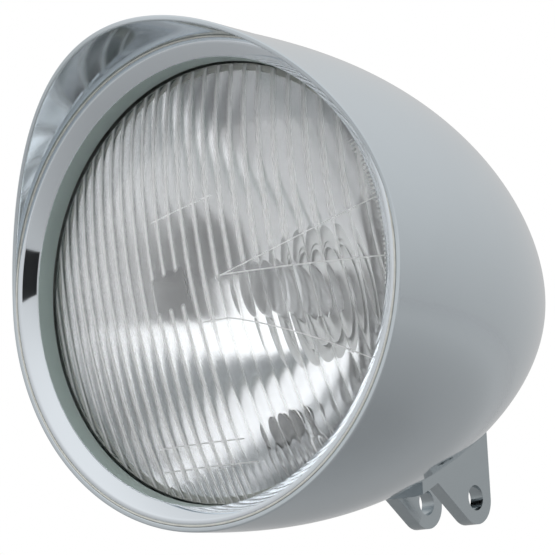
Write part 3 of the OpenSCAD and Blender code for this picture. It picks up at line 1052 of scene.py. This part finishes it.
@dataclass
class FlutedGlass:
    """Domed headlight glass: a plain blank whose back a node tree moulds into flutes."""

    dome_face: float = 0.0682
    rim: float = 0.0702
    rim_round: Point2 = (0.0006, 0.0002)
    rim_steps: Point2 = (0.0002, 0.0003)
    front: float = 0.0104
    back: float = 0.014
    fluted: float = 0.0671
    dome: float = 0.162996
    middle: float = 0.158396
    thick: float = 0.0036
    flute: float = 0.005
    flute_depth: float = 0.00028
    fade_from: float = 0.975
    ridge_half: float = 0.26
    fine_share: float = 0.6
    fine_below: float = -0.056
    turn: float = 10.0
    flute_columns: int = 14
    end_columns: int = 14
    even_share: float = 0.9
    front_rows: int = 28
    back_rows: int = 110
    calm_from: float = 0.008
    calm_share: float = 0.85
    calm_crest: float = 0.25
    calm_top: Point2 = (-0.0044, 0.366)
    calm_foot: Point2 = (-0.0083, -0.38)
    calm_soft: Point2 = (0.0015, 0.0008)
    low_share: float = 0.8
    block: tuple[float, ...] = (-0.0154, -0.002, -0.007, 0.0043)
    block_soft: float = 0.0003

    @property
    def inner(self) -> float:
        """Radius of the ball that the dome's back lies on."""
        return self.dome - self.thick

    def column_places(self) -> list[float]:
        """Returns each column's place across the disc, from -1 to 1, in step with the flutes.

        Returns:
            The places, from left to right.
        """
        step = self.flute / self.flute_columns / self.fluted
        reach = int(self.even_share / step)
        flat = [step * i for i in range(-reach, reach + 1)]
        start = math.acos(step * (reach + 1))
        ends = [math.cos(start * (1 - k / self.end_columns)) for k in range(self.end_columns + 1)]
        return [-e for e in reversed(ends)] + flat + ends

    def disc(self, bm: bmesh.types.BMesh, mark: float, radius: float, ball: float, rows: int) -> list:
        """Adds a domed disc of upright columns.

        Args:
            bm: The mesh being built.
            mark: Which face of the glass it is, 0 for the front and 1 for the back.
            radius: The disc's radius.
            ball: Radius of the dome.
            rows: Pieces in each column.

        Returns:
            The disc's outer vertices, in order round the axis.
        """
        layer = bm.verts.layers.float["back_face"]
        columns = []
        for share in self.column_places():
            x = share * radius
            half = math.sqrt(max(radius**2 - x**2, 0.0))
            heights = [half * (2 * k / rows - 1) for k in range(rows + 1)]
            spots = [(radius, 0.0)] if half < COLUMN_POLE else [(math.hypot(x, z), z) for z in heights]
            columns.append([bm.verts.new((x, self.middle - math.sqrt(ball**2 - r * r), z)) for r, z in spots])
            for vert in columns[-1]:
                vert[layer] = mark
        for left, right in zip(columns, columns[1:]):
            if len(left) == 1 or len(right) == 1:
                one, many = (left[0], right) if len(left) == 1 else (right[0], left)
                for a, b in zip(many, many[1:]):
                    bm.faces.new((one, a, b))
                continue
            for k in range(rows):
                bm.faces.new((left[k], right[k], right[k + 1], left[k + 1]))
        return [c[0] for c in columns] + [c[-1] for c in reversed(columns[1:-1])]

    def blank(self) -> Mesh:
        """Returns the glass before its flutes, in its own unturned place.

        Returns:
            The mesh, with a mark on the vertices of its back.
        """
        bm = bmesh.new()
        bm.verts.layers.float.new("back_face")
        rings = [self.disc(bm, 0.0, self.dome_face, self.dome, self.front_rows)]
        aft = self.disc(bm, 1.0, self.fluted, self.inner, self.back_rows)
        front, back, rim, far, near = self.front, self.back, self.rim, *self.rim_round
        for radius, depth in (
            (self.dome_face + self.rim_steps[0], front), (rim - far, front), (rim - near, front + near),
            (rim, front + far), (rim, back - far),
            (rim - near, back - near), (rim - far, back), (self.fluted + self.rim_steps[1], back),
        ):
            aims = [Vector((vert.co.x, 0.0, vert.co.z)).normalized() * radius for vert in rings[0]]
            rings.append([bm.verts.new((aim.x, depth, aim.z)) for aim in aims])
        rings.append(aft)
        count = len(aft)
        for left, right in zip(rings, rings[1:]):
            for i in range(count):
                j = (i + 1) % count
                bm.faces.new((left[i], left[j], right[j], right[i]))
        bmesh.ops.recalc_face_normals(bm, faces=bm.faces)
        return mesh_of(bm, "glass_blank", True)

    def sizes(self) -> dict[str, float]:
        """Returns the node tree's inputs by name."""
        return {
            "Flute Width": self.flute,
            "Flute Depth": self.flute_depth,
            "Fine Share": self.fine_share,
            "Fine Below": self.fine_below,
            "Inner Radius": self.inner,
            "Dome Middle": self.middle,
            "Fluted Radius": self.fluted,
            "Ridge Half": self.ridge_half,
            "Glass Turn": math.radians(self.turn),
            "Calm From": self.calm_from,
            "Calm Share": self.calm_share,
            "Low Share": self.low_share,
            **dict(zip(BLOCK_LIMITS, self.block)),
        }

    def tree(self, material: Material) -> bpy.types.NodeTree:
        """Returns the node tree that moulds the flutes.

        Args:
            material: The glass's finish.

        Returns:
            The tree, with its sizes as named inputs.
        """
        tree = bpy.data.node_groups.new("mould_flutes", "GeometryNodeTree")
        face = tree.interface
        face.new_socket("Geometry", in_out="OUTPUT", socket_type="NodeSocketGeometry")
        face.new_socket("Geometry", in_out="INPUT", socket_type="NodeSocketGeometry")
        for name in self.sizes():
            face.new_socket(name, in_out="INPUT", socket_type="NodeSocketFloat")
        bench = NodeBench(tree)
        given = bench.add("NodeGroupInput").outputs
        xyz = bench.split(bench.add("GeometryNodeInputPosition").outputs[0])
        x, z = xyz["X"], xyz["Z"]
        mark = bench.add("GeometryNodeInputNamedAttribute", {"Name": "back_face"}, data_type="FLOAT").outputs[0]
        fine = bench.math("LESS_THAN", z, given["Fine Below"])
        width = bench.product(given["Flute Width"], bench.blend(fine, 1.0, given["Fine Share"]))
        place = bench.minus(bench.math("FRACT", bench.math("DIVIDE", x, width)), 0.5)
        hollow = bench.minus(1.0, bench.product(place, place, 4.0))
        reach = bench.math("DIVIDE", bench.length(x, z), given["Fluted Radius"])
        fade = bench.ramp(reach, self.fade_from, 1.0, 1.0, 0.0)
        share, crest_share = self.calmed(bench, given, x, z)
        depth = bench.product(hollow, given["Flute Depth"], fade, share)
        drop = bench.leg(bench.total(bench.leg(given["Inner Radius"], x), depth), z)
        spot = bench.add("ShaderNodeCombineXYZ", {"X": x, "Y": bench.minus(given["Dome Middle"], drop), "Z": z})
        is_back = bench.math("GREATER_THAN", mark, 0.5)
        inputs = {"Geometry": given["Geometry"], "Selection": is_back, "Position": spot.outputs[0]}
        mould = bench.add("GeometryNodeSetPosition", inputs)
        # The ridge mark stored here is where the glass's material paints its highlight lines.
        near = bench.ramp(bench.minus(0.5, bench.math("ABSOLUTE", place)), 0.0, given["Ridge Half"], 1.0, 0.0)
        inputs = {"Name": "ridge", "Value": bench.product(near, mark, crest_share), "Geometry": mould.outputs[0]}
        crest = bench.add("GeometryNodeStoreNamedAttribute", inputs, data_type="FLOAT", domain="POINT")
        real = bench.add("GeometryNodeRealizeInstances", {0: crest.outputs[0]})
        paint = bench.add("GeometryNodeSetMaterial", {"Geometry": real.outputs[0], "Material": material})
        bench.add("NodeGroupOutput", {0: paint.outputs[0]})
        return tree

    def calmed(self, bench: NodeBench, given: object, x: Socket, z: Socket) -> tuple[Value, Value]:
        """Adds the shares that weaken the flutes in the glass's plain wedge, below it and in its block.

        Args:
            bench: The bench of the tree.
            given: The tree's inputs.
            x: Place across the glass.
            z: Height on the glass.

        Returns:
            The share of the flutes' depth and the share of their ridges' painted highlight.
        """
        cosine, sine = (bench.math(name, given["Glass Turn"]) for name in ("COSINE", "SINE"))
        across = bench.minus(bench.product(x, cosine), bench.product(z, sine))
        height = bench.total(bench.product(x, sine), bench.product(z, cosine))
        top, foot = (
            bench.total(bench.product(across, slope), level) for level, slope in (self.calm_top, self.calm_foot)
        )
        side_soft, level_soft = self.calm_soft
        right = self.above(bench, across, given["Calm From"], side_soft)
        calm = bench.product(right, self.above(bench, top, height, level_soft))
        over = self.above(bench, height, foot, level_soft)
        share = bench.blend(over, given["Low Share"], given["Calm Share"])
        left, end, foot_end, top_end = (given[name] for name in BLOCK_LIMITS)
        limits = ((x, left), (end, x), (z, foot_end), (top_end, z))
        block = bench.product(*(self.above(bench, value, limit, self.block_soft) for value, limit in limits))
        bare = bench.minus(1.0, block)
        depth, crest = bench.blend(calm, 1.0, share), bench.blend(calm, 1.0, self.calm_crest)
        return bench.product(depth, bare), bench.product(crest, bare)

    def above(self, bench: NodeBench, value: Value, limit: Value, soft: float) -> Socket:
        """Returns 0 well below a limit and 1 well above it."""
        return bench.ramp(bench.minus(value, limit), -soft, soft)

    def build(self, shop: FinishShop) -> None:
        """Makes the glass and lets it stand for its node.

        Args:
            shop: Where its finishes come from.
        """
        piece = new_piece("fluted_glass", self.blank())
        tree = self.tree(shop.material(Finish.LENS_GLASS))
        moulding = piece.modifiers.new("flutes", "NODES")
        moulding.node_group = tree
        sizes = self.sizes()
        for item in tree.interface.items_tree:
            if item.in_out == "INPUT" and item.name in sizes:
                moulding[item.identifier] = sizes[item.name]
        baked(piece)
        turned = Matrix.Rotation(math.radians(-self.turn), 4, "Y")
        piece.data.transform(Matrix.Translation(AXIS.centre()) @ turned)
        fitted(piece, "lens_glass", Finish.LENS_GLASS, shop)


@dataclass
class MountBracket:
    """Cast bracket with softly broken edges."""

    edge: float = 0.0005
    edge_steps: int = 2
    edge_from: float = 40.0
    sharp: float = 30.0
    weld: float = 2e-6
    sliver: float = 1e-6

    def build(self, shop: FinishShop) -> None:
        """Makes the bracket out of its node's own mesh and lets it stand for it.

        Args:
            shop: Where its finishes come from.
        """
        bm = bmesh.new()
        bm.from_mesh(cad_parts["mount_bracket"].data)
        bmesh.ops.remove_doubles(bm, verts=bm.verts, dist=self.weld)
        bmesh.ops.dissolve_degenerate(bm, edges=bm.edges, dist=self.sliver)
        mesh = mesh_of(bm, "bracket_casting", True)
        sharpened(mesh, self.sharp)
        piece = new_piece("bracket_casting", mesh)
        bevel = piece.modifiers.new("edges", "BEVEL")
        bevel.width, bevel.segments, bevel.limit_method = self.edge, self.edge_steps, "ANGLE"
        bevel.angle_limit = math.radians(self.edge_from)
        bevel.harden_normals = True
        baked(piece)
        fitted(piece, "mount_bracket", Finish.BRACKET_CHROME, shop)


@dataclass
class SmallParts:
    """CAD nodes that keep their own mesh and only get their finish."""

    finishes: dict[Finish, tuple[str, ...]] = field(
        default_factory=lambda: {
            Finish.ZINC_STEEL: (
                "bracket_screws", "bracket_washers", "clip_rivets",
                "bulb_holder", "holder_rivets", "bulb_collar",
            ),
            Finish.BLACK_RUBBER: ("wire_grommet", "dust_boot"),
            # These seals and the socket take the pale seal bead colour, partly as painted light against the shade
            # they sit in.
            Finish.SEAL_BEAD: ("rim_seal", "lens_seal", "pilot_socket"),
            Finish.SPRING_STEEL: ("ring_clips", "unit_springs", "bulb_clip"),
            Finish.BULB_GLASS: ("bulb_glass", "pilot_bulb"),
            Finish.BULB_BASE: ("bulb_base",),
            Finish.CONTACT_BRASS: ("bulb_blades",),
        }
    )

    def build(self, shop: FinishShop) -> None:
        """Puts the finishes on the nodes.

        Args:
            shop: Where its finishes come from.
        """
        for finish, nodes in self.finishes.items():
            for node in nodes:
                shop.dress(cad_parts[node], finish)
                LOG.info("%s keeps its mesh and gets %s", node, finish.value)


# ---------------------------------------------------------------- studio


@dataclass(frozen=True)
class PhotoCamera:
    """Camera at the photograph's angle, with its turn and focal length in picture widths."""

    azimuth: float = 39.53
    elevation: float = -8.17
    distance: float = 0.9
    yaw: float = -1.58
    pitch: float = -0.04
    roll: float = -2.91
    focal: float = 2957 / 555
    sensor: float = 36.0
    clip: Point2 = (0.01, 50.0)

    def build(self) -> None:
        """Makes the camera and sets it as the scene's."""
        a, e = math.radians(self.azimuth), math.radians(self.elevation)
        back = Vector((math.sin(a) * math.cos(e), -math.cos(a) * math.cos(e), math.sin(e)))
        right = Vector((math.cos(a), math.sin(a), 0.0))
        aim = Matrix((right, back.cross(right), back)).transposed()
        for degrees, column in ((self.yaw, 1), (self.pitch, 0), (self.roll, 2)):
            aim = Matrix.Rotation(math.radians(degrees), 3, aim.col[column].copy()) @ aim
        data = bpy.data.cameras.new("photo_camera")
        data.sensor_width, data.lens = self.sensor, self.sensor * self.focal
        data.clip_start, data.clip_end = self.clip
        camera = bpy.data.objects.new("photo_camera", data)
        camera.matrix_world = Matrix.Translation(AXIS.centre() + back * self.distance) @ aim.to_4x4()
        bpy.context.scene.collection.objects.link(camera)
        bpy.context.scene.camera = camera


@dataclass(frozen=True)
class Studio:
    """Plain pale floor, soft lamps, a pale surround and a few dark cards for the mirrors to show."""

    floor_drop: float = 0.12
    floor_size: float = 2.4
    floor_tone: float = 0.82
    floor_metal: Point2 = (0.38, 0.50)
    floor_glass: Point2 = (0.70, 0.80)
    floor_span: Point2 = (0.2, 0.9)
    floor_fade: Point2 = (0.4, 2.2)
    floor_shine: float = 0.1
    matt: float = 0.9
    plain_level: float = 0.55
    horizon: float = 0.9
    metal_low: float = 0.28
    metal_high: float = 0.73
    glass_gain: float = 2.2
    bright_side: Point3 = (0.1, -0.85, 0.5)
    bright_span: Point2 = (0.35, 0.9)
    bright_gain: float = 0.5
    bright_metal: float = 0.3
    flag: tuple[float, ...] = (54.0, 13.0, 0.8, 0.25)
    flag_tone: float = 0.03
    mat: tuple[Point2, ...] = ((22, 0.13), (45, 0.13), (58, 0.2), (67, 0.4), (67, 1.0), (22, 1.0))
    mat_tone: float = 0.04
    mat_lift: float = 0.001
    card: tuple[Point3, ...] = (
        (-0.0100, -0.0920, -0.0005),
        (0.0135, -0.0692, -0.0065),
        (0.0165, -0.0679, 0.0096),
        (-0.0074, -0.0908, 0.0135),
    )
    card_tone: float = 0.03
    card_blue: float = 1.04
    lamp_size: float = 1.2
    lamps: tuple[tuple[str, Point3, float], ...] = (
        ("key", (-0.9, -1.3, 1.5), 16.0),
        ("fill", (1.6, -0.6, 0.9), 9.0),
        ("back", (0.3, 1.6, 1.2), 8.0),
    )

    def build(self) -> None:
        """Makes the floor, the lamps, the cards and the surround."""
        self.surround()
        self.floor()
        for name, place, power in self.lamps:
            self.lamp(name, Vector(place), power)
        self.camera_card()
        self.dark_flag()
        bpy.context.scene.view_settings.view_transform = "Standard"

    def surround(self) -> None:
        """Makes a surround that is white to the camera, and that metal and glass show paler above and in front."""
        world = bpy.data.worlds.new("studio")
        bpy.context.scene.world = world
        world.use_nodes = True
        bench, nodes = NodeBench(world.node_tree), world.node_tree.nodes
        path = bench.add("ShaderNodeLightPath").outputs
        aim = bench.split(bench.place("Generated"))
        height = bench.ramp(aim["Z"], -self.horizon, self.horizon, self.metal_low, self.metal_high)
        side = Vector(self.bright_side).normalized()
        near = bench.total(*(bench.product(aim[axis], part) for axis, part in zip("XYZ", side)))
        front = bench.ramp(near, *self.bright_span, 0.0, self.bright_gain)
        bare = bench.total(height, bench.product(front, self.bright_metal))
        inside = bench.total(bench.product(height, self.glass_gain), front)
        metal = bench.blend(path["Is Glossy Ray"], self.plain_level, bare)
        level = bench.blend(path["Is Transmission Ray"], metal, inside)
        strength = bench.math("MAXIMUM", level, path["Is Camera Ray"])
        bench.give(nodes["Background"], {"Color": (1.0, 1.0, 1.0, 1.0), "Strength": strength})
        bench.give(nodes["World Output"], {"Surface": nodes["Background"].outputs[0]})

    def floor(self) -> None:
        """Makes a pale floor that fades into the surround at its edge."""
        bm = bmesh.new()
        bmesh.ops.create_grid(bm, x_segments=2, y_segments=2, size=self.floor_size)
        mesh = mesh_of(bm, "floor")
        mesh.transform(Matrix.Translation((0.0, 0.0, -self.floor_drop)))
        piece = new_piece("floor", mesh)
        material, bench, shader = blank_material("pale_floor")
        reach = bench.add("ShaderNodeVectorMath", {0: bench.place()}, operation="LENGTH").outputs["Value"]
        path = bench.add("ShaderNodeLightPath").outputs
        tone: Value = self.floor_tone
        for ray, tones in (("Is Glossy Ray", self.floor_metal), ("Is Transmission Ray", self.floor_glass)):
            tone = bench.blend(path[ray], tone, bench.ramp(reach, *self.floor_span, *tones))
        bench.give(shader, {"Base Color": tone, "Roughness": self.matt, "Specular IOR Level": self.floor_shine})
        clear = bench.add("ShaderNodeBsdfTransparent")
        inputs = {0: bench.ramp(reach, *self.floor_fade), 1: shader.outputs[0], 2: clear.outputs[0]}
        mix = bench.add("ShaderNodeMixShader", inputs)
        bench.give(material.node_tree.nodes["Material Output"], {"Surface": mix.outputs[0]})
        mesh.materials.append(material)

    def lamp(self, name: str, place: Vector, power: float) -> None:
        """Adds a soft square lamp that aims at the headlight and that metal doesn't show.

        Args:
            name: The lamp's name.
            place: Where it stands.
            power: Its power in watts.
        """
        data = bpy.data.lights.new(name, "AREA")
        data.size, data.energy = self.lamp_size, power
        lamp = bpy.data.objects.new(name, data)
        lamp.location = place
        lamp.rotation_mode = "QUATERNION"
        lamp.rotation_quaternion = (AXIS.centre() - place).to_track_quat("-Z", "Y")
        lamp.visible_glossy = False
        lamp.visible_transmission = False
        bpy.context.scene.collection.objects.link(lamp)

    def mirror_card(self, name: str, corners: Sequence[Vector], tone: float, bare_metal: bool) -> Piece:
        """Adds a matt dark card that the camera doesn't see.

        Args:
            name: The card's name.
            corners: Its corners, in order.
            tone: Its grey.
            bare_metal: Whether it also shows in metal that no glass covers.

        Returns:
            The card.
        """
        bm = bmesh.new()
        bm.faces.new([bm.verts.new(corner) for corner in corners])
        mesh = mesh_of(bm, name)
        piece = new_piece(name, mesh)
        material, bench, shader = blank_material(name)
        bench.give(shader, {"Base Color": (tone, tone, tone * self.card_blue, 1.0), "Roughness": self.matt})
        mesh.materials.append(material)
        piece.visible_camera = False
        piece.visible_shadow = False
        piece.visible_diffuse = False
        piece.visible_glossy = bare_metal
        return piece

    def spot(self, azimuth: float, distance: float, height: float) -> Vector:
        """Returns a point at an angle, distance and height from the lamp's mouth."""
        turn = math.radians(azimuth)
        return AXIS.centre() + Vector((math.sin(turn) * distance, -math.cos(turn) * distance, height))

    def dark_flag(self) -> None:
        """Adds a tall dark flag beside the camera and the dark mat in front of it."""
        middle, spread, distance, tall = self.flag
        corners = ((-spread, -tall), (spread, -tall), (spread, tall), (-spread, tall))
        flag = [self.spot(middle + turn, distance, height) for turn, height in corners]
        self.mirror_card("dark_flag", flag, self.flag_tone, False)
        drop = self.mat_lift - self.floor_drop - AXIS.bolt_drop
        self.mirror_card("dark_mat", [self.spot(a, d, drop) for a, d in self.mat], self.mat_tone, False)

    def camera_card(self) -> None:
        """Adds the small dark card that the trim ring's cone shows where the photo has the camera's front."""
        corners = [AXIS.centre() + Vector(corner) for corner in self.card]
        piece = self.mirror_card("camera_front", corners, self.card_tone, True)
        piece.visible_transmission = False


def main() -> None:
    """Builds the camera, the studio and each sub-assembly in order."""
    logging.basicConfig(level=logging.INFO, format="%(name)s: %(message)s")
    PhotoCamera().build()
    Studio().build()
    shop = FinishShop()
    for part in (BulletShell(), TrimRing(), Reflector(), FlutedGlass(), MountBracket(), SmallParts()):
        part.build(shop)


if __name__ == "__main__":
    main()
